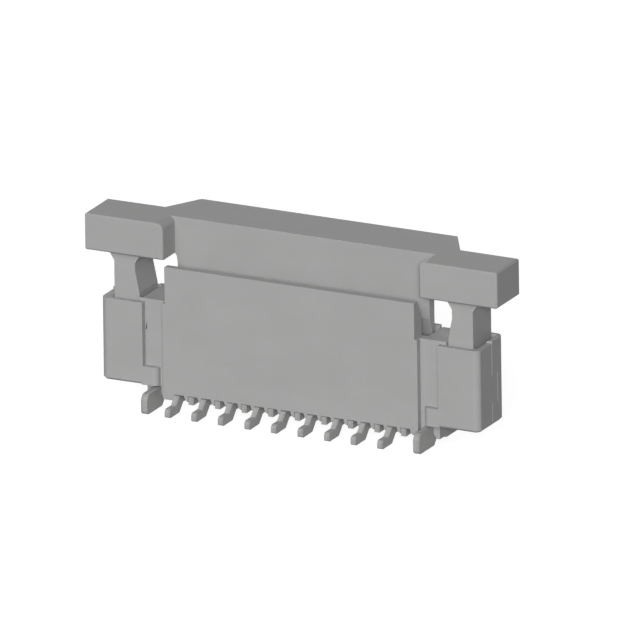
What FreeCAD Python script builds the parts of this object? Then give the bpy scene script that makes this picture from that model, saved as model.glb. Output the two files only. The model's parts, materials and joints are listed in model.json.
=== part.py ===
import FreeCAD, Part
import math
import os

# A vertical connector for a flat flexible cable. Stamped contacts leave the housing in two
# staggered rows, and a slider with two ears is pushed down to lock the cable.
# Millimetres. X runs along the row of contacts and Z up from the board. While the pieces are
# made, Y counts backwards from the housing's front face; the last step centres them on Y.
# The slider is drawn raised, ready for a cable.

# Contacts, stamped from flat strip
contact_count = 18
contact_pitch = 0.5
contact_thickness = 0.20
contact_clearance = 0.015
contact_end_room = 0.05
tail_reach = 0.80
tail_length = 0.48
tail_height = 0.31
tail_top_radius = 0.13
tail_toe_radius = 0.08
heel_inset = 0.06
base_bottom = 0.29
base_top = 0.57
base_radius = 0.05
beam_room = 0.10
beam_root = 0.27
beam_neck = 0.18
beam_neck_height = 2.70
beam_top = 3.45
bump_height = 3.08
bump_radius = 0.12
bump_crown = 0.28
cable_squeeze = 0.23
fork_floor = 1.05
fork_radius = 0.10
post_top = 2.00
post_lead = 0.08
barb_reach = 0.04
barb_height = 1.55
barb_length = 0.30

# Cable, slot and mouth
cable_margin = 0.50
cable_clearance = 0.03
cable_gap = 0.515
slot_floor = 1.30
mouth_flare = 0.18
mouth_depth = 0.58
mouth_chamfer = 0.28

# Housing, one moulding
body_bottom = 0.28
body_top = 3.78
front_wall = 0.585
front_skin = 0.20
back_wall = 0.40
back_skin = 0.15
sole_start = 0.73
sole_drop = 0.07
body_end_margin = 0.265
plate_margin = 0.02
plate_bottom = 0.363
plate_rise = 1.29
plate_shoulder = 0.10
plate_taper_rise = 0.59
plate_tip = 0.265
relief_flat = 0.06
relief_slope = 0.25
groove_depth = 0.24
notch_width = 0.133
notch_foot_width = 0.18
notch_foot_height = 0.43
notch_depth = 0.35

# Housing ends, which hold the slider's arms
block_bottom = 0.77
block_inset = 0.315
block_wall = 0.345
block_edge_radius = 0.27
block_sole_chamfer = 0.08
block_front_drop = 0.10
block_back_drop = 0.03
ledge_top = 1.42
ledge_radius = 0.20
pocket_inner_wall = 0.225
pocket_front_wall = 0.31
pocket_length = 1.45
pocket_chamfer = 0.12
pocket_front_chamfer = 0.11
pocket_back_chamfer = 0.05
pocket_floor_gap = 0.05
parting_depth = 1.00
parting_jog = 0.41
parting_jog_bottom = 1.52
parting_jog_top = 2.55
parting_step = 0.012
vent_bottom = 2.68
vent_height = 0.23
vent_width = 0.065
vent_depth = 0.12

# Slider, one moulding
slider_travel = 1.42
seat_gap = 0.03
slide_clearance = 0.03
slider_height = 1.30
arm_width = 0.94
arm_length = 2.78
arm_tip_radius = 0.08
neck_step = 0.15
neck_ramp_top = 0.63
neck_ramp_bottom = 1.33
neck_flare = 0.19
neck_flare_height = 0.30
hook_reach = 0.16
hook_height = 0.40
hook_lead = 0.16
ear_margin = 0.02
ear_front = 0.15
ear_overhang = 0.64
ear_inner_radius = 0.24
ear_edge_chamfer = 0.05
lip_reach = 1.23
lip_shoulder = 0.71
lip_chamfer = 0.20
blade_short = 0.01
blade_thickness = 0.38
blade_clearance = 0.02
blade_length = 1.88
blade_taper_start = 1.03
blade_tip = 0.09
blade_root_width = 0.10
blade_root_height = 0.32
blade_root_bend = 0.03
blade_root_bend_height = 0.10

# Fitting nails, stamped plates that are soldered down at both ends
nail_gap = 0.20
nail_thickness = 0.24
nail_clearance = 0.015
nail_height = 0.71
nail_heel = 0.345
nail_heel_run = 0.155
nail_heel_rise = 0.16
nail_corner_radius = 0.12
nail_strip_front = 0.55
nail_strip_width = 0.70
nail_strip_bottom = 0.34
nail_strip_top = 2.50
nail_barb_height = 1.70
nail_flare = 0.13
nail_flare_height = 0.19

# Places along X that follow from the sizes above
contact_span = (contact_count - 1) * contact_pitch
cable_half = contact_span / 2 + cable_margin
slot_half = cable_half + cable_clearance
blade_half = cable_half - blade_short
mouth_half = slot_half + mouth_flare
plate_half = slot_half + plate_margin
nail_inner = plate_half + nail_gap
nail_outer = nail_inner + nail_thickness
body_half = nail_outer + body_end_margin
block_inner = nail_outer + block_inset
pocket_inner = block_inner + pocket_inner_wall
arm_inner = pocket_inner + slide_clearance
neck_inner = arm_inner + neck_step
arm_outer = arm_inner + arm_width
hook_outer = arm_outer + hook_reach
pocket_outer = arm_outer + slide_clearance
block_outer = pocket_outer + block_wall
ear_inner = plate_half + ear_margin
ear_outer = block_outer + ear_overhang
slab_half = ear_inner + lip_shoulder

# Places along Y
blade_front = front_wall + cable_gap
blade_back = blade_front + blade_thickness
slot_back = blade_back + blade_clearance
body_back = slot_back + back_wall
channel_back = body_back - back_skin
lip_back = body_back + lip_reach
pocket_back = pocket_front_wall + pocket_length
beam_front = front_skin + beam_room
bump_front = blade_front - cable_squeeze
post_front = slot_back + contact_clearance
post_back = channel_back - contact_clearance - barb_reach
nail_strip_back = nail_strip_front + nail_strip_width

# Places along Z
plate_top = body_top + plate_rise
underside = body_top + seat_gap + slider_travel
slider_top = underside + slider_height
blade_bottom = underside - blade_length
arm_bottom = underside - arm_length
pocket_floor = arm_bottom - slider_travel - pocket_floor_gap

# How far a cutting or joining solid runs past the face that it meets
past = 0.05

y_centre = (lip_back - tail_reach) / 2


def rounded_wire(corners, place):
    """Closed wire through (u, v) or (u, v, radius) corners, with a tangent arc at each radius."""
    points = [FreeCAD.Vector(corner[0], corner[1], 0) for corner in corners]
    starts, middles, ends = [], [], []
    for i, corner in enumerate(corners):
        to_last = (points[i - 1] - points[i]).normalize()
        to_next = (points[(i + 1) % len(points)] - points[i]).normalize()
        radius = corner[2] if len(corner) > 2 else 0
        half_angle = to_last.getAngle(to_next) / 2
        setback = radius / math.tan(half_angle)
        inwards = (to_last + to_next).normalize() if radius else to_next
        starts.append(points[i] + to_last * setback)
        middles.append(points[i] + inwards * (radius / math.sin(half_angle) - radius))
        ends.append(points[i] + to_next * setback)
    edges = []
    for i, corner in enumerate(corners):
        if len(corner) > 2:
            edges.append(Part.Arc(place(starts[i]), place(middles[i]), place(ends[i])).toShape())
        following = starts[(i + 1) % len(corners)]
        edges.append(Part.LineSegment(place(ends[i]), place(following)).toShape())
    return Part.Wire(edges)


def along_x(corners, x_from, x_to):
    wire = rounded_wire(corners, lambda p: FreeCAD.Vector(x_from, p.x, p.y))
    return Part.Face(wire).extrude(FreeCAD.Vector(x_to - x_from, 0, 0))


def along_y(corners, y_from, y_to):
    wire = rounded_wire(corners, lambda p: FreeCAD.Vector(p.x, y_from, p.y))
    return Part.Face(wire).extrude(FreeCAD.Vector(0, y_to - y_from, 0))


def along_z(corners, z_from, z_to):
    wire = rounded_wire(corners, lambda p: FreeCAD.Vector(p.x, p.y, z_from))
    return Part.Face(wire).extrude(FreeCAD.Vector(0, 0, z_to - z_from))


def box(x_from, x_to, y_from, y_to, z_from, z_to):
    corner = FreeCAD.Vector(x_from, y_from, z_from)
    return Part.makeBox(x_to - x_from, y_to - y_from, z_to - z_from, corner)


def mirrored(shape):
    return shape.mirror(FreeCAD.Vector(0, 0, 0), FreeCAD.Vector(1, 0, 0))


def both_ends(shapes):
    return shapes + [mirrored(shape) for shape in shapes]


def contact_places():
    return [i * contact_pitch - contact_span / 2 for i in range(contact_count)]


# The foot on the board and the sloping leg that joins it to the contact's base
def tail_corners():
    leg_foot = tail_reach - tail_length
    return [
        (base_top - tail_height - leg_foot, base_top),
        (-leg_foot, tail_height),
        (-tail_reach, tail_height, tail_top_radius),
        (-tail_reach, 0, tail_toe_radius),
        (-heel_inset, 0),
        (base_bottom - heel_inset, base_bottom),
    ]


# The short barbed post in the back wall, and the spring beam with its bump in the front wall
def fork_corners():
    beam_back = beam_front + beam_root
    return [
        (post_back, barb_height),
        (channel_back - contact_clearance, barb_height + barb_length),
        (post_back, barb_height + barb_length),
        (post_back, post_top),
        (post_front + post_lead, post_top),
        (post_front, post_top - post_lead),
        (post_front, fork_floor, fork_radius),
        (beam_back, fork_floor, fork_radius),
        (beam_front + beam_neck, beam_neck_height),
        (bump_front, bump_height, bump_radius),
        (beam_front + bump_crown, beam_top, base_radius),
        (beam_front, beam_top, base_radius),
        (beam_front, base_top, base_radius),
    ]


def front_contact():
    return tail_corners() + [(post_back, base_bottom, base_radius)] + fork_corners()


def rear_contact():
    rear_tail = [(body_back - c[0],) + c[1:] for c in reversed(tail_corners())]
    front_nub = [(0, base_top), (0, base_bottom)]
    return front_nub + rear_tail + [(post_back, base_top, base_radius)] + fork_corners()


def contacts():
    pieces = {}
    rows = {"front": front_contact(), "rear": rear_contact()}
    for i, x in enumerate(contact_places()):
        row = "front" if i % 2 == 0 else "rear"
        blade = along_x(rows[row], x - contact_thickness / 2, x + contact_thickness / 2)
        pieces["contact_{}_{}".format(row, i // 2 + 1)] = blade
    return pieces


# The room that one contact's fork takes in the housing, open at the bottom
def contact_channel(x):
    half = contact_thickness / 2 + contact_clearance
    corners = [
        (front_skin, 0),
        (channel_back, 0),
        (channel_back, post_top + contact_end_room),
        (front_wall + past, post_top + contact_end_room),
        (front_wall + past, beam_top + contact_end_room),
        (front_skin, beam_top + contact_end_room),
    ]
    return along_x(corners, x - half, x + half)


# The gap in the bottom edge of a long wall that lets one contact's base out
def contact_notch(x, y_from, y_to):
    left = x - contact_thickness / 2 - contact_clearance
    right = x + contact_thickness / 2
    corners = [
        (left, 0),
        (right + contact_pitch - contact_thickness, 0),
        (right + contact_pitch - contact_thickness, plate_bottom),
        (right + notch_foot_width, notch_foot_height),
        (right + notch_width, base_top + contact_clearance),
        (left, base_top + contact_clearance),
    ]
    return along_y(corners, y_from, y_to)


def contact_cuts():
    cuts = []
    for i, x in enumerate(contact_places()):
        cuts.append(contact_channel(x))
        cuts.append(contact_notch(x, -past, notch_depth))
        if i % 2:
            cuts.append(contact_notch(x, body_back - notch_depth, body_back + past))
    return cuts


def nail():
    channel_end = nail_strip_back - barb_reach
    corners = [
        (-tail_reach, 0, tail_toe_radius),
        (nail_heel, 0),
        (nail_heel + nail_heel_run, nail_heel_rise),
        (nail_heel + nail_heel_run, nail_strip_bottom),
        (channel_end, nail_strip_bottom, base_radius),
        (channel_end, nail_barb_height),
        (nail_strip_back, nail_barb_height + barb_length),
        (channel_end, nail_barb_height + barb_length),
        (channel_end, nail_strip_top, base_radius),
        (nail_strip_front, nail_strip_top, base_radius),
        (nail_strip_front, nail_height, base_radius),
        (-tail_reach, nail_height, nail_corner_radius),
    ]
    return along_x(corners, nail_inner, nail_outer)


# The slot for one nail, with the sloping lead-in at the housing's bottom
def nail_cuts():
    front = nail_strip_front - nail_clearance
    back = nail_strip_back + nail_clearance
    slot = [
        (-past, 0),
        (back, 0),
        (back, nail_strip_top + nail_clearance),
        (front, nail_strip_top + nail_clearance),
        (front, nail_height + nail_clearance),
        (-past, nail_height + nail_clearance),
    ]
    flare_top = body_bottom + nail_flare_height
    lead_in = [
        (nail_inner - nail_flare, 0),
        (nail_outer + nail_flare, 0),
        (nail_outer + nail_flare, body_bottom),
        (nail_outer, flare_top),
        (nail_inner, flare_top),
        (nail_inner - nail_flare, body_bottom),
    ]
    return [
        along_x(slot, nail_inner - nail_clearance, nail_outer + nail_clearance),
        along_y(lead_in, groove_depth - past, back),
    ]


# The long middle of the housing and the tall plate that guides the cable in from the front
def housing_core():
    core = [
        (groove_depth, body_bottom),
        (sole_start, body_bottom),
        (sole_start, body_bottom - sole_drop),
        (body_back, body_bottom - sole_drop),
        (body_back, body_top),
        (groove_depth, body_top),
    ]
    relief_end = groove_depth + relief_flat + relief_slope
    relief = [
        (groove_depth - past, body_bottom - past),
        (relief_end, body_bottom - past),
        (relief_end, body_bottom),
        (groove_depth + relief_flat, plate_bottom),
        (groove_depth - past, plate_bottom),
    ]
    guide = [
        (0, body_top - past),
        (front_wall, body_top - past),
        (front_wall, body_top + plate_taper_rise),
        (plate_tip, plate_top),
        (0, plate_top),
    ]
    guide_half = plate_half - plate_shoulder
    middle = along_x(core, -body_half, body_half)
    middle = middle.cut(along_x(relief, -plate_half, plate_half))
    plate = box(-plate_half, plate_half, 0, groove_depth + past, plate_bottom, body_top)
    return middle.fuse([plate, along_x(guide, -guide_half, guide_half)])


# One end of the housing, with the ledge beside its nail
def housing_block():
    plan = [
        (block_inner, 0),
        (block_outer, 0, block_edge_radius),
        (block_outer, body_back, block_edge_radius),
        (body_half - past, body_back),
        (body_half - past, groove_depth),
        (block_inner, groove_depth),
    ]
    block = along_z(plan, block_bottom, body_top)
    sole = [e for e in block.Edges if e.BoundBox.ZMax < block_bottom + past
            and e.BoundBox.XMax > block_inner + past and e.BoundBox.YMax - e.BoundBox.YMin
            + e.BoundBox.XMax - e.BoundBox.XMin > past]
    block = block.makeChamfer(block_sole_chamfer, sole)
    front_top = body_top - block_front_drop
    back_top = body_top - block_back_drop
    drops = [
        box(block_inner, block_outer + past, -past, groove_depth, front_top, body_top + past),
        box(pocket_inner, block_outer + past, -past, parting_depth, front_top, body_top + past),
        box(pocket_inner, block_outer + past, 0, body_back + past, back_top, body_top + past),
    ]
    ledge_plan = [
        (nail_inner, 0, ledge_radius),
        (block_inner + past, 0),
        (block_inner + past, groove_depth + past),
        (nail_inner, groove_depth + past),
    ]
    return block.cut(drops).fuse(along_z(ledge_plan, block_bottom, ledge_top))


# What is taken out of one end: the arm's pocket, the hook's recess and the parting step
def block_cuts():
    pocket = box(pocket_inner, pocket_outer, pocket_front_wall, pocket_back,
                 pocket_floor, body_top + past)
    recess = box(pocket_outer - past, hook_outer + slide_clearance,
                 pocket_front_wall, pocket_back,
                 pocket_floor, arm_bottom + hook_height + slide_clearance)
    front_top = body_top - block_front_drop
    back_top = body_top - block_back_drop
    edges = [
        (pocket_front_wall, front_top - pocket_front_chamfer),
        (pocket_back, back_top - pocket_back_chamfer),
        (pocket_back + pocket_back_chamfer, back_top),
        (pocket_back + pocket_back_chamfer, body_top + past),
        (pocket_front_wall - pocket_front_chamfer, body_top + past),
        (pocket_front_wall - pocket_front_chamfer, front_top),
    ]
    mouth = [
        (pocket_inner, body_top - pocket_chamfer),
        (pocket_outer, body_top - pocket_chamfer),
        (pocket_outer, body_top - neck_flare_height),
        (pocket_outer + neck_flare, body_top),
        (pocket_outer + neck_flare, body_top + past),
        (pocket_inner - pocket_chamfer, body_top + past),
        (pocket_inner - pocket_chamfer, body_top),
    ]
    jog = parting_depth + parting_jog
    parting = [
        (-past, block_bottom - past),
        (parting_depth, block_bottom - past),
        (parting_depth, parting_jog_bottom),
        (jog, parting_jog_bottom),
        (jog, parting_jog_top),
        (parting_depth, parting_jog_top),
        (parting_depth, body_top + past),
        (-past, body_top + past),
    ]
    vent = [
        (block_inner - vent_width, vent_bottom),
        (block_inner, vent_bottom),
        (block_inner - vent_width, vent_bottom + vent_height),
    ]
    return [
        pocket,
        recess,
        along_x(edges, pocket_inner, pocket_outer),
        along_y(mouth, pocket_front_wall, pocket_back),
        along_x(parting, block_outer - parting_step, block_outer + past),
        along_y(vent, groove_depth - past, groove_depth + vent_depth),
    ]


# The grooves at the back, which match the ones beside the plate in front
def back_grooves():
    groove = box(plate_half, block_inner, body_back - groove_depth, body_back + past,
                 -past, body_top + past)
    return both_ends([groove])


# The slot for the cable and the blade, with its wider mouth
def slot_cuts():
    mouth_bottom = body_top - mouth_depth
    lead_in = [
        (slot_back - past, body_top - mouth_chamfer),
        (slot_back, body_top - mouth_chamfer),
        (slot_back + mouth_chamfer, body_top),
        (slot_back + mouth_chamfer, body_top + past),
        (slot_back - past, body_top + past),
    ]
    return [
        box(-slot_half, slot_half, front_wall, slot_back, slot_floor, body_top + past),
        box(-mouth_half, mouth_half, front_wall, slot_back, mouth_bottom, body_top + past),
        along_x(lead_in, -mouth_half, mouth_half),
    ]


def housing():
    solid = housing_core().fuse(both_ends([housing_block()])).removeSplitter()
    cuts = slot_cuts() + back_grooves() + both_ends(block_cuts() + nail_cuts()) + contact_cuts()
    return solid.cut(cuts).removeSplitter()


# One ear of the slider, with its soft moulded edges
def slider_ear():
    section = [
        (ear_inner, underside),
        (ear_outer, underside),
        (ear_outer, slider_top),
        (ear_inner, slider_top, ear_inner_radius),
    ]
    ear = along_y(section, ear_front, body_back)
    flat_from = ear_inner + ear_inner_radius + past
    edges = [e for e in ear.Edges if e.BoundBox.YMax - e.BoundBox.YMin < past
             or e.BoundBox.XMin > flat_from]
    return ear.makeChamfer(ear_edge_chamfer, edges)


# One arm, which slides in the housing's pocket and is held there by its hook
def slider_arm():
    front = pocket_front_wall + slide_clearance
    back = pocket_back - slide_clearance
    corners = [
        (arm_inner, arm_bottom, arm_tip_radius),
        (arm_outer, arm_bottom, arm_tip_radius),
        (hook_outer, arm_bottom + hook_lead),
        (hook_outer, arm_bottom + hook_height),
        (arm_outer, arm_bottom + hook_height),
        (arm_outer, underside - neck_flare_height),
        (arm_outer + neck_flare, underside),
        (arm_outer + neck_flare, underside + past),
        (neck_inner - neck_flare, underside + past),
        (neck_inner - neck_flare, underside),
        (neck_inner, underside - neck_flare_height),
        (neck_inner, underside - neck_ramp_top),
        (arm_inner, underside - neck_ramp_bottom),
    ]
    return along_y(corners, front, back)


# The small gusset where the blade's end runs out under the ear
def blade_root():
    corners = [
        (blade_half - past, underside - blade_root_height),
        (blade_half, underside - blade_root_height),
        (blade_half + blade_root_bend, underside - blade_root_bend_height),
        (blade_half + blade_root_width, underside),
        (blade_half + blade_root_width, underside + past),
        (blade_half - past, underside + past),
    ]
    return along_y(corners, blade_front, blade_back)


def slider():
    plan = [
        (-slab_half, blade_front),
        (slab_half, blade_front),
        (slab_half, body_back),
        (ear_inner, lip_back),
        (-ear_inner, lip_back),
        (-slab_half, body_back),
    ]
    lip_edge = [
        (lip_back - lip_chamfer, underside - past),
        (lip_back - lip_chamfer, underside),
        (lip_back, underside + lip_chamfer),
        (lip_back + past, underside + lip_chamfer),
        (lip_back + past, underside - past),
    ]
    blade = [
        (blade_front, underside + past),
        (blade_front, underside - blade_taper_start),
        (blade_back - blade_tip, blade_bottom),
        (blade_back, blade_bottom),
        (blade_back, underside + past),
    ]
    slab = along_z(plan, underside, slider_top).cut(along_x(lip_edge, -slab_half, slab_half))
    ends = both_ends([slider_ear(), slider_arm(), blade_root()])
    return slab.fuse([along_x(blade, -blade_half, blade_half)] + ends).removeSplitter()


def build():
    nail_right = nail()
    pieces = {"housing": housing(), "lock_slider": slider()}
    pieces.update(contacts())
    pieces["fitting_nail_right"] = nail_right
    pieces["fitting_nail_left"] = mirrored(nail_right)
    return pieces


os.makedirs("parts", exist_ok=True)
for name, shape in build().items():
    solid = shape.Solids[0]
    solid.translate(FreeCAD.Vector(0, -y_centre, 0))
    solid.exportStep("parts/{}.step".format(name))
    print(name, len(shape.Solids), round(solid.Volume, 4), solid.isValid())
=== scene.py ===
import json
import math

import bmesh
import bpy
from mathutils import Matrix, Vector

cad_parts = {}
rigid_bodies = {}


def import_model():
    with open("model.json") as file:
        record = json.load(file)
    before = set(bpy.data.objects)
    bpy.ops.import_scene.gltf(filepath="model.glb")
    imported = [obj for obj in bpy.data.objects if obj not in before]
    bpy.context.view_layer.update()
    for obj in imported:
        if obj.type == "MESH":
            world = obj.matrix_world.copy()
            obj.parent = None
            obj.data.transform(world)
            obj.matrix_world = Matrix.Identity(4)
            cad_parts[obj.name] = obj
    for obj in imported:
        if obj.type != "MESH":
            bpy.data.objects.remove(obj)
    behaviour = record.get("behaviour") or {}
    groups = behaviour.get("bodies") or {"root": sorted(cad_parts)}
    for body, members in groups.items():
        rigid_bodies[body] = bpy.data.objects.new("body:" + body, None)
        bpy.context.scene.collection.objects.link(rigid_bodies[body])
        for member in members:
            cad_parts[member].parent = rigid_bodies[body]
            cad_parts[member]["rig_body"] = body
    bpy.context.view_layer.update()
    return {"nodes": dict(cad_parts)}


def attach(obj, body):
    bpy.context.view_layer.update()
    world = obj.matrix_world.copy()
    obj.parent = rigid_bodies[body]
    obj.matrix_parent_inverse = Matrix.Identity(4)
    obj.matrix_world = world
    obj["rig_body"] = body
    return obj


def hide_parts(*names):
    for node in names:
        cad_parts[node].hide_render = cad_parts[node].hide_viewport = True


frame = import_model()
mm = 0.001
print("frame loaded,", len(frame["nodes"]), "nodes")


# One output of a shader node. Sums, differences and products of signals add Math nodes.
class Signal:
    def __init__(self, socket):
        self.socket = socket

    # Any other node: its type, its settings, and the values or signals of its sockets
    def make(self, kind, settings=None, inputs=None, output=0):
        tree = self.socket.id_data
        made = tree.nodes.new(kind)
        for name, value in (settings or {}).items():
            setattr(made, name, value)
        for name, value in (inputs or {}).items():
            if isinstance(value, Signal):
                tree.links.new(value.socket, made.inputs[name])
            else:
                made.inputs[name].default_value = value
        return Signal(made.outputs[output])

    def math(self, operation, first, second=0.0):
        return self.make("ShaderNodeMath", {"operation": operation}, {0: first, 1: second})

    # From 0 at the first limit to 1 at the second
    def between(self, limits):
        inputs = {"Value": self, "From Min": limits[0], "From Max": limits[1]}
        return self.make("ShaderNodeMapRange", {}, inputs)

    def into(self, socket):
        self.socket.id_data.links.new(self.socket, socket)

    def __add__(self, other):
        return self.math("ADD", self, other)

    def __radd__(self, other):
        return self.math("ADD", other, self)

    def __sub__(self, other):
        return self.math("SUBTRACT", self, other)

    def __rsub__(self, other):
        return self.math("SUBTRACT", other, self)

    def __mul__(self, other):
        return self.math("MULTIPLY", self, other)

    def __rmul__(self, other):
        return self.math("MULTIPLY", other, self)


def grey(value, warmth=0.0):
    return (value + warmth, value, value - warmth, 1.0)


# A new material, its shader, and the place on the piece in millimetres
def startMaterial(name, fixedSockets):
    material = bpy.data.materials.new(name)
    material.use_nodes = True
    tree = material.node_tree
    shader = tree.nodes["Principled BSDF"]
    for socketName, value in fixedSockets.items():
        shader.inputs[socketName].default_value = value
    place = Signal(tree.nodes.new("ShaderNodeTexCoord").outputs["Object"])
    toMillimetres = {0: place, "Scale": 1 / mm}
    place = place.make("ShaderNodeVectorMath", {"operation": "SCALE"}, toMillimetres)
    return material, shader, place


# Scale is in cells of the pattern per millimetre
def noise(place, scale, detail=2.0, roughness=0.5, stretch=(1, 1, 1)):
    stretched = place.make("ShaderNodeMapping", {}, {"Vector": place, "Scale": stretch})
    inputs = {"Vector": stretched, "Scale": scale, "Detail": detail, "Roughness": roughness}
    return place.make("ShaderNodeTexNoise", {}, inputs)


# The look's darkest grey where the tone is 0 and its lightest where it is 1
def greyFor(tone, look):
    dark = grey(look["shade"] - look["shadeRange"], look["warmth"][0])
    light = grey(look["shade"] + look["shadeRange"], look["warmth"][1])
    return tone.make("ShaderNodeMix", {"data_type": "RGBA"}, {0: tone, 6: dark, 7: light}, 2)


def bump(height, depth):
    inputs = {"Height": height, "Strength": 1.0, "Distance": depth * mm}
    return height.make("ShaderNodeBump", {}, inputs)


# The direction in which the surface faces
def facing(place):
    return place.make("ShaderNodeNewGeometry", {}, {}, "Normal")


def alongX(vector):
    return vector.make("ShaderNodeSeparateXYZ", {}, {0: vector})


rubbedEdge = {
    "radius": 0.05,             # mm
    "turn": (0.02, 0.25),       # 1 minus its cosine, where the edge begins and where it is full
    "samples": 4,
}


# Where the surface turns over an edge, from 0 on a flat to 1 on the edge
def edgeMask(place):
    samples = {"samples": rubbedEdge["samples"]}
    rounded = place.make("ShaderNodeBevel", samples, {"Radius": rubbedEdge["radius"] * mm})
    both = {0: rounded, 1: facing(place)}
    agreement = place.make("ShaderNodeVectorMath", {"operation": "DOT_PRODUCT"}, both, "Value")
    return (1 - agreement).between(rubbedEdge["turn"])


# Scales are in cells per mm. Tone, rough and height say how much a pattern counts in each.
resinLook = {
    "shade": 0.405,             # middle grey of the moulding
    "shadeRange": 0.2,          # darkest and lightest possible, away from that
    "warmth": (0.001, 0.002),   # of the darkest and the lightest
    "roughness": 0.56,
    "specular": 0.12,
    "textureDepth": 0.0035,     # spark-eroded mould surface, in mm
    "patternStart": 0.0,        # mm along the row, so that two mouldings differ
    "patches": {"scale": 0.7, "tone": 0.11, "rough": 0.1},
    "flow": {"scale": 1.6, "stretch": (0.22, 1.0, 1.0), "tone": 0.07, "height": 1.2},
    "grain": {"scale": 24.0, "tone": 0.12, "rough": 0.22, "height": 0.6},
    "pits": {"scale": 15.0, "height": 0.7},
    "specks": {"scale": 46.0, "limits": (0.66, 0.78), "tone": 0.125},
    "edges": {"tone": 0.125, "rough": 0.12},
}


# Moulded resin: streaks where the melt flowed, fine grain and pits from the mould, specks of
# mineral filler, and rubbed edges that are a little lighter and smoother
def makeResin(name, look):
    fixed = {"IOR": 1.5, "Specular IOR Level": look["specular"]}
    material, shader, place = startMaterial(name, fixed)
    start = (look["patternStart"], 0, 0)
    place = place.make("ShaderNodeVectorMath", {"operation": "ADD"}, {0: place, 1: start})
    ofPatches, ofFlow, ofGrain = look["patches"], look["flow"], look["grain"]
    ofPits, ofSpecks, ofEdges = look["pits"], look["specks"], look["edges"]
    patches = noise(place, ofPatches["scale"], 3.0) - 0.5
    flow = noise(place, ofFlow["scale"], 4.0, 0.55, ofFlow["stretch"]) - 0.5
    grain = noise(place, ofGrain["scale"], 3.0, 0.6) - 0.5
    pitting = {"Vector": place, "Scale": ofPits["scale"]}
    pits = place.make("ShaderNodeTexVoronoi", {"feature": "SMOOTH_F1"}, pitting)
    specks = noise(place, ofSpecks["scale"], 1.0).between(ofSpecks["limits"])
    edge = edgeMask(place)

    tone = 0.5 + patches * ofPatches["tone"] + flow * ofFlow["tone"] + grain * ofGrain["tone"]
    tone = tone + edge * ofEdges["tone"] - specks * ofSpecks["tone"]
    greyFor(tone, look).into(shader.inputs["Base Color"])
    rough = look["roughness"] + grain * ofGrain["rough"] + patches * ofPatches["rough"]
    rough = rough - edge * ofEdges["rough"]
    rough.into(shader.inputs["Roughness"])
    height = grain * ofGrain["height"] + pits * ofPits["height"] + flow * ofFlow["height"]
    bump(height, look["textureDepth"]).into(shader.inputs["Normal"])
    return material


# Scales are in cells per mm. Tone and rough say how much a pattern counts in each.
tinLook = {
    "shade": 0.40,
    "shadeRange": 0.13,         # darkest and lightest possible, away from that
    "warmth": (0.002, 0.004),   # of the darkest and the lightest
    "metallic": 0.05,
    "roughness": 0.43,
    "specular": 0.12,
    "clouds": {"scale": 1.8, "tone": 0.30, "rough": 0.16},
    "crystals": {"scale": 34.0, "tone": 0.10, "rough": 0.08},
    "rolled": {"scale": 3.2, "stretch": (1.0, 8.0, 1.0), "depth": 0.0012},
    "sheared": {"scale": 13.0, "stretch": (0.08, 1.0, 1.0), "depth": 0.0022},
    "torn": {"scale": 26.0, "share": 0.38, "fade": 0.06, "tone": 0.16, "rough": 0.12},
    "flatFacing": (0.55, 0.85),
}


# Matt tin over stamped strip, whose flats face X and show rolling lines. A punch shears its cut
# edges and tears the last of them. The last argument turns a place along X into one through the
# strip's thickness, from 0 to 1.
def makeTin(name, look, throughStrip):
    fixed = {"Metallic": look["metallic"], "IOR": 1.5, "Specular IOR Level": look["specular"]}
    material, shader, place = startMaterial(name, fixed)
    ofClouds, ofCrystals, ofTorn = look["clouds"], look["crystals"], look["torn"]
    ofRolled, ofSheared = look["rolled"], look["sheared"]
    sideways = alongX(facing(place))
    onFlat = sideways.math("ABSOLUTE", sideways).between(look["flatFacing"])
    onCut = 1 - onFlat
    tornFrom = 1 - ofTorn["share"]
    limits = (tornFrom - ofTorn["fade"], tornFrom + ofTorn["fade"])
    torn = throughStrip(alongX(place)).between(limits)
    clouds = noise(place, ofClouds["scale"], 4.0, 0.6) - 0.5
    crystalline = {"Vector": place, "Scale": ofCrystals["scale"]}
    crystals = place.make("ShaderNodeTexVoronoi", {}, crystalline, "Color")
    crystals = place.make("ShaderNodeSeparateColor", {}, {0: crystals}) - 0.5
    rolled = noise(place, ofRolled["scale"], 5.0, 0.65, ofRolled["stretch"])
    sheared = noise(place, ofSheared["scale"], 3.0, 0.6, ofSheared["stretch"])
    broken = noise(place, ofTorn["scale"], 4.0, 0.7)

    tone = 0.5 + clouds * ofClouds["tone"] + crystals * ofCrystals["tone"]
    tone = tone - torn * onCut * ofTorn["tone"]
    greyFor(tone, look).into(shader.inputs["Base Color"])
    rough = look["roughness"] + clouds * ofClouds["rough"] + crystals * ofCrystals["rough"]
    rough = rough + torn * onCut * ofTorn["rough"]
    rough.into(shader.inputs["Roughness"])
    flats = rolled * onFlat * ofRolled["depth"]
    cuts = (sheared * (1 - torn) + broken * torn) * onCut * ofSheared["depth"]
    bump(flats + cuts, 1.0).into(shader.inputs["Normal"])
    return material


# All in mm
contactStrip = {"pitch": 0.5, "thickness": 0.20}
nailStrip = {"innerFace": 5.00, "thickness": 0.24}


def throughContact(x):
    toMiddle = (contactStrip["pitch"] + contactStrip["thickness"]) / 2
    within = x.math("FLOORED_MODULO", x + toMiddle, contactStrip["pitch"])
    return within * (1 / contactStrip["thickness"])


def throughNail(x):
    return (x.math("ABSOLUTE", x) - nailStrip["innerFace"]) * (1 / nailStrip["thickness"])


sliderLook = {**resinLook, "textureDepth": 0.0028, "roughness": 0.52, "patternStart": 7.3}
housingResin = makeResin("housing resin", resinLook)
sliderResin = makeResin("slider resin", sliderLook)
contactTin = makeTin("contact tin", tinLook, throughContact)
nailTin = makeTin("nail tin", tinLook, throughNail)
print("materials made")


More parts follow.
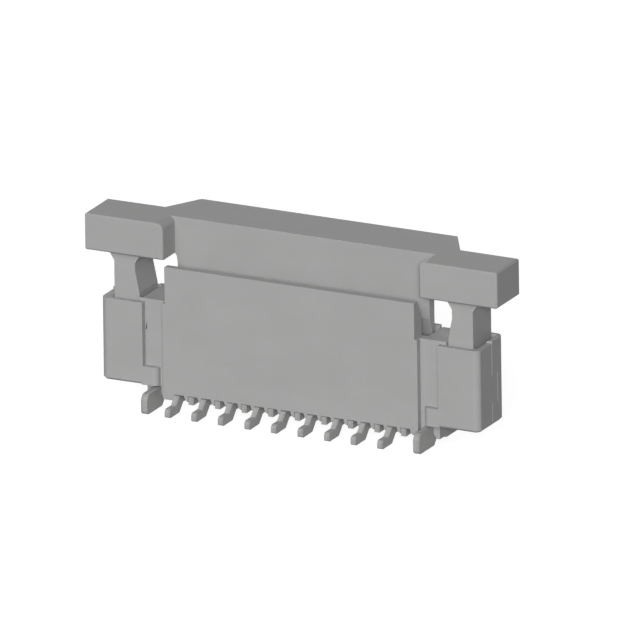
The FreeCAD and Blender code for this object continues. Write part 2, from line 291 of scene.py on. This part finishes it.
# How the CAD nodes' faces are merged and shaded
merging = {
    "weld": 0.0001,             # mm
    "flatWithin": 0.5,          # degrees between faces that become one
    "curveFrom": 0.6,           # degrees between the facets of a curve, at least
    "shadeWithin": 50,          # degrees between faces that run into each other
    "squareTo": 0.9999,         # a normal's largest part on a face along the axes, at least
    "room": 2.05,               # of a face beside a rounding, in widths of its strip, at least
}


# A face's rough width: what is left of its area along its longest edge
def faceWidth(face):
    return face.calc_area() / max(edge.calc_length() for edge in face.edges)


# An outer corner of the piece, not a facet of a curve, with room on both sides for its rounding
def isCorner(edge, rounding):
    if not edge.seam or not edge.is_manifold or not edge.is_convex:
        return False
    turn = edge.calc_face_angle()
    if turn < math.radians(rounding["fromAngle"]):
        return False
    room = merging["room"] * rounding["depth"] * mm / math.sin(turn / 2)
    return all(faceWidth(face) > room for face in edge.link_faces)


# Each face is a flat, a facet of a curve or a strip of a rounded edge
def faceKinds(shape, strips):
    kinds = {face: "flat" for face in shape.faces}
    bend = math.radians(merging["curveFrom"])
    for edge in shape.edges:
        if edge.is_manifold and not edge.seam and edge.calc_face_angle() > bend:
            kinds.update({face: "curve" for face in edge.link_faces})
    kinds.update({face: "strip" for face in strips})
    return kinds


# The shading direction at one corner of a face. Flats keep their own, curves run into the flats
# beside them, and rounded edges run into both.
def shadingNormal(face, vert, kinds):
    if kinds[face] == "flat":
        return face.normal
    blend = math.radians(merging["shadeWithin"])
    near = [other for other in vert.link_faces if other.normal.angle(face.normal, 0.0) < blend]
    flats = [other for other in near if kinds[other] == "flat"]
    if flats:
        return min(flats, key=lambda other: other.normal.angle(face.normal, 0.0)).normal
    curves = [other for other in near if kinds[other] == "curve"] or near
    total = Vector()
    for other in curves:
        total += other.normal * other.calc_area()
    return total.normalized()


# Cuts a strip's front corner to an arc. Its side is "top" or "bottom", and the arc runs along X.
def roundToe(shape, cut):
    front = min(vert.co.y for vert in shape.verts)
    radius = cut["radius"] * mm
    if cut["side"] == "top":
        up = 1
        level = max(vert.co.z for vert in shape.verts if vert.co.y < front + cut["reach"] * mm)
    else:
        up = -1
        level = 0
    middle = Vector((0, front + radius, level - up * radius))
    for step in range(cut["segments"]):
        turn = math.radians(90) * (step + 0.5) / cut["segments"]
        outwards = Vector((0, -math.cos(turn), up * math.sin(turn)))
        everything = shape.verts[:] + shape.edges[:] + shape.faces[:]
        sliced = bmesh.ops.bisect_plane(
            shape, geom=everything, plane_co=middle + outwards * radius, plane_no=outwards,
            clear_outer=True,
        )
        rim = [item for item in sliced["geom_cut"] if isinstance(item, bmesh.types.BMEdge)]
        bmesh.ops.edgeloop_fill(shape, edges=rim)

    # The edges of the strip's flats and ends are true ones, also where they are newly cut
    shape.normal_update()
    square = merging["squareTo"]
    for edge in shape.edges:
        if any(max(abs(part) for part in face.normal) > square for face in edge.link_faces):
            edge.seam = True


# A merged copy of a node's mesh with its outer edges rounded. The node's faces come unjoined, so
# their open sides are the true edges, and they are marked as seams before the merge.
def dressNode(nodeName, pieceName, rounding, material, cuts=()):
    node = frame["nodes"][nodeName]
    shape = bmesh.new()
    shape.from_mesh(node.data)
    for edge in shape.edges:
        edge.seam = edge.is_boundary
    bmesh.ops.remove_doubles(shape, verts=shape.verts, dist=merging["weld"] * mm)
    flat = math.radians(merging["flatWithin"])
    bmesh.ops.dissolve_limit(shape, angle_limit=flat, verts=shape.verts, edges=shape.edges)
    for cut in cuts:
        roundToe(shape, cut)

    corners = [edge for edge in shape.edges if isCorner(edge, rounding)]
    bevelled = bmesh.ops.bevel(
        shape, geom=corners, offset=rounding["depth"] * mm, offset_type="DEPTH", affect="EDGES",
        segments=rounding["segments"], profile=0.5, material=-1, clamp_overlap=False,
        loop_slide=True,
    )
    shape.normal_update()
    kinds = faceKinds(shape, bevelled["faces"])
    normals = []
    for face in shape.faces:
        face.smooth = True
        for vert in face.verts:
            normals.append(shadingNormal(face, vert, kinds))

    mesh = bpy.data.meshes.new(pieceName)
    shape.to_mesh(mesh)
    mesh.normals_split_custom_set(normals)
    shape.free()
    mesh.materials.append(material)
    piece = bpy.data.objects.new(pieceName, mesh)
    bpy.context.scene.collection.objects.link(piece)
    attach(piece, node["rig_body"])
    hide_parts(nodeName)


# The depth cut off at each edge in mm. It makes 0.023 mm roundings of square edges and wider
# ones of edges that are chamfered.
mouldedEdges = {"depth": 0.0095, "segments": 3, "fromAngle": 28}
stampedEdges = {"depth": 0.0085, "segments": 2, "fromAngle": 28}

dressNode("housing", "moulded_housing", mouldedEdges, housingResin)
print("housing dressed")
dressNode("lock_slider", "moulded_slider", mouldedEdges, sliderResin)
print("slider dressed")

# The nails' feet have rounder front corners than the solids, in mm
nailToe = (
    {"side": "top", "radius": 0.25, "segments": 6, "reach": 0.4},
    {"side": "bottom", "radius": 0.15, "segments": 5},
)

for nodeName in sorted(frame["nodes"]):
    pieceName = "stamped_" + nodeName
    if nodeName.startswith("contact_"):
        dressNode(nodeName, pieceName, stampedEdges, contactTin)
    if nodeName.startswith("fitting_nail_"):
        dressNode(nodeName, pieceName, stampedEdges, nailTin, nailToe)
print("contacts and nails dressed")

studio = {
    "skyStrength": 0.05,        # light from all round
    "floorShade": 0.25,
    "floorGlow": 0.90,          # what the camera and reflections see above that shade
    "floorRoughness": 0.9,
    "floorSpecular": 0.1,
    "floorSize": 60,            # mm from the middle to the edge
}


# 1 for what is seen, also in a reflection or through glass, and 0 for what lights the object
def seenRays(tree):
    rays = tree.nodes.new("ShaderNodeLightPath").outputs
    seen = Signal(rays["Is Camera Ray"])
    for rayName in ("Is Glossy Ray", "Is Transmission Ray"):
        seen = seen.math("MAXIMUM", seen, Signal(rays[rayName]))
    return seen


def makeFloor(settings):
    shape = bmesh.new()
    size = settings["floorSize"] * mm
    bmesh.ops.create_grid(shape, x_segments=1, y_segments=1, size=size)
    mesh = bpy.data.meshes.new("floor")
    shape.to_mesh(mesh)
    shape.free()
    floor = bpy.data.objects.new("floor", mesh)
    bpy.context.scene.collection.objects.link(floor)

    material = bpy.data.materials.new("pale floor")
    material.use_nodes = True
    tree = material.node_tree
    shader = tree.nodes["Principled BSDF"]
    shader.inputs["Roughness"].default_value = settings["floorRoughness"]
    shader.inputs["Specular IOR Level"].default_value = settings["floorSpecular"]
    shader.inputs["Base Color"].default_value = grey(settings["floorShade"])
    seen = seenRays(tree)
    lit = Signal(shader.outputs[0])
    white = {"Color": grey(1.0), "Strength": settings["floorGlow"]}
    glow = seen.make("ShaderNodeEmission", {}, white)
    both = seen.make("ShaderNodeAddShader", {}, {0: lit, 1: glow})
    surface = seen.make("ShaderNodeMixShader", {}, {0: seen, 1: lit, 2: both})
    surface.into(tree.nodes["Material Output"].inputs["Surface"])
    mesh.materials.append(material)


def makeSky(settings):
    world = bpy.data.worlds.new("studio")
    bpy.context.scene.world = world
    world.use_nodes = True
    background = world.node_tree.nodes["Background"]
    background.inputs["Color"].default_value = grey(1.0)
    seen = seenRays(world.node_tree)
    strength = seen * (1 - settings["skyStrength"]) + settings["skyStrength"]
    strength.into(background.inputs["Strength"])


# Softness is in degrees across. The first two share their work, so neither throws a hard shadow.
lamps = {
    "camera side light": {"from": (0.426, -0.847, 0.319), "strength": 1.78, "softness": 16},
    "front light": {"from": (0.0, -0.81, 0.59), "strength": 1.18, "softness": 40},
    "back light": {"from": (-0.74, 0.67, 0.06), "strength": 2.30, "softness": 12},
}


def makeLamp(name, settings):
    lamp = bpy.data.lights.new(name, "SUN")
    lamp.energy = settings["strength"]
    lamp.angle = math.radians(settings["softness"])
    sun = bpy.data.objects.new(name, lamp)
    sun.rotation_mode = "QUATERNION"
    sun.rotation_quaternion = Vector(settings["from"]).to_track_quat("Z", "Y")
    bpy.context.scene.collection.objects.link(sun)


# A parallel view, as the photograph's is. Its roll comes from the measured right and up
# directions. Lengths are in mm.
cameraView = {
    "right": (0.8955, 0.4452, -0.0124),
    "up": (-0.1312, 0.2902, 0.9478),
    "centre": (0.469, 3.303),   # of the picture, along right and up
    "width": 21.57,             # of the picture
    "distance": 60,
    "clipStart": 1,
    "clipEnd": 1000,
}


def makeCamera(settings):
    right = Vector(settings["right"]).normalized()
    up = Vector(settings["up"])
    back = right.cross(up).normalized()
    up = back.cross(right)
    lens = bpy.data.cameras.new("camera")
    lens.type = "ORTHO"
    lens.ortho_scale = settings["width"] * mm
    lens.clip_start = settings["clipStart"] * mm
    lens.clip_end = settings["clipEnd"] * mm
    camera = bpy.data.objects.new("camera", lens)
    across, upwards = settings["centre"]
    middle = right * across + up * upwards + back * settings["distance"]
    turn = Matrix((right, up, back)).transposed()
    camera.matrix_world = Matrix.Translation(middle * mm) @ turn.to_4x4()
    bpy.context.scene.collection.objects.link(camera)
    bpy.context.scene.camera = camera


makeFloor(studio)
makeSky(studio)
for lampName, lampSettings in lamps.items():
    makeLamp(lampName, lampSettings)
makeCamera(cameraView)
bpy.context.scene.view_settings.view_transform = "Standard"
print("studio made")
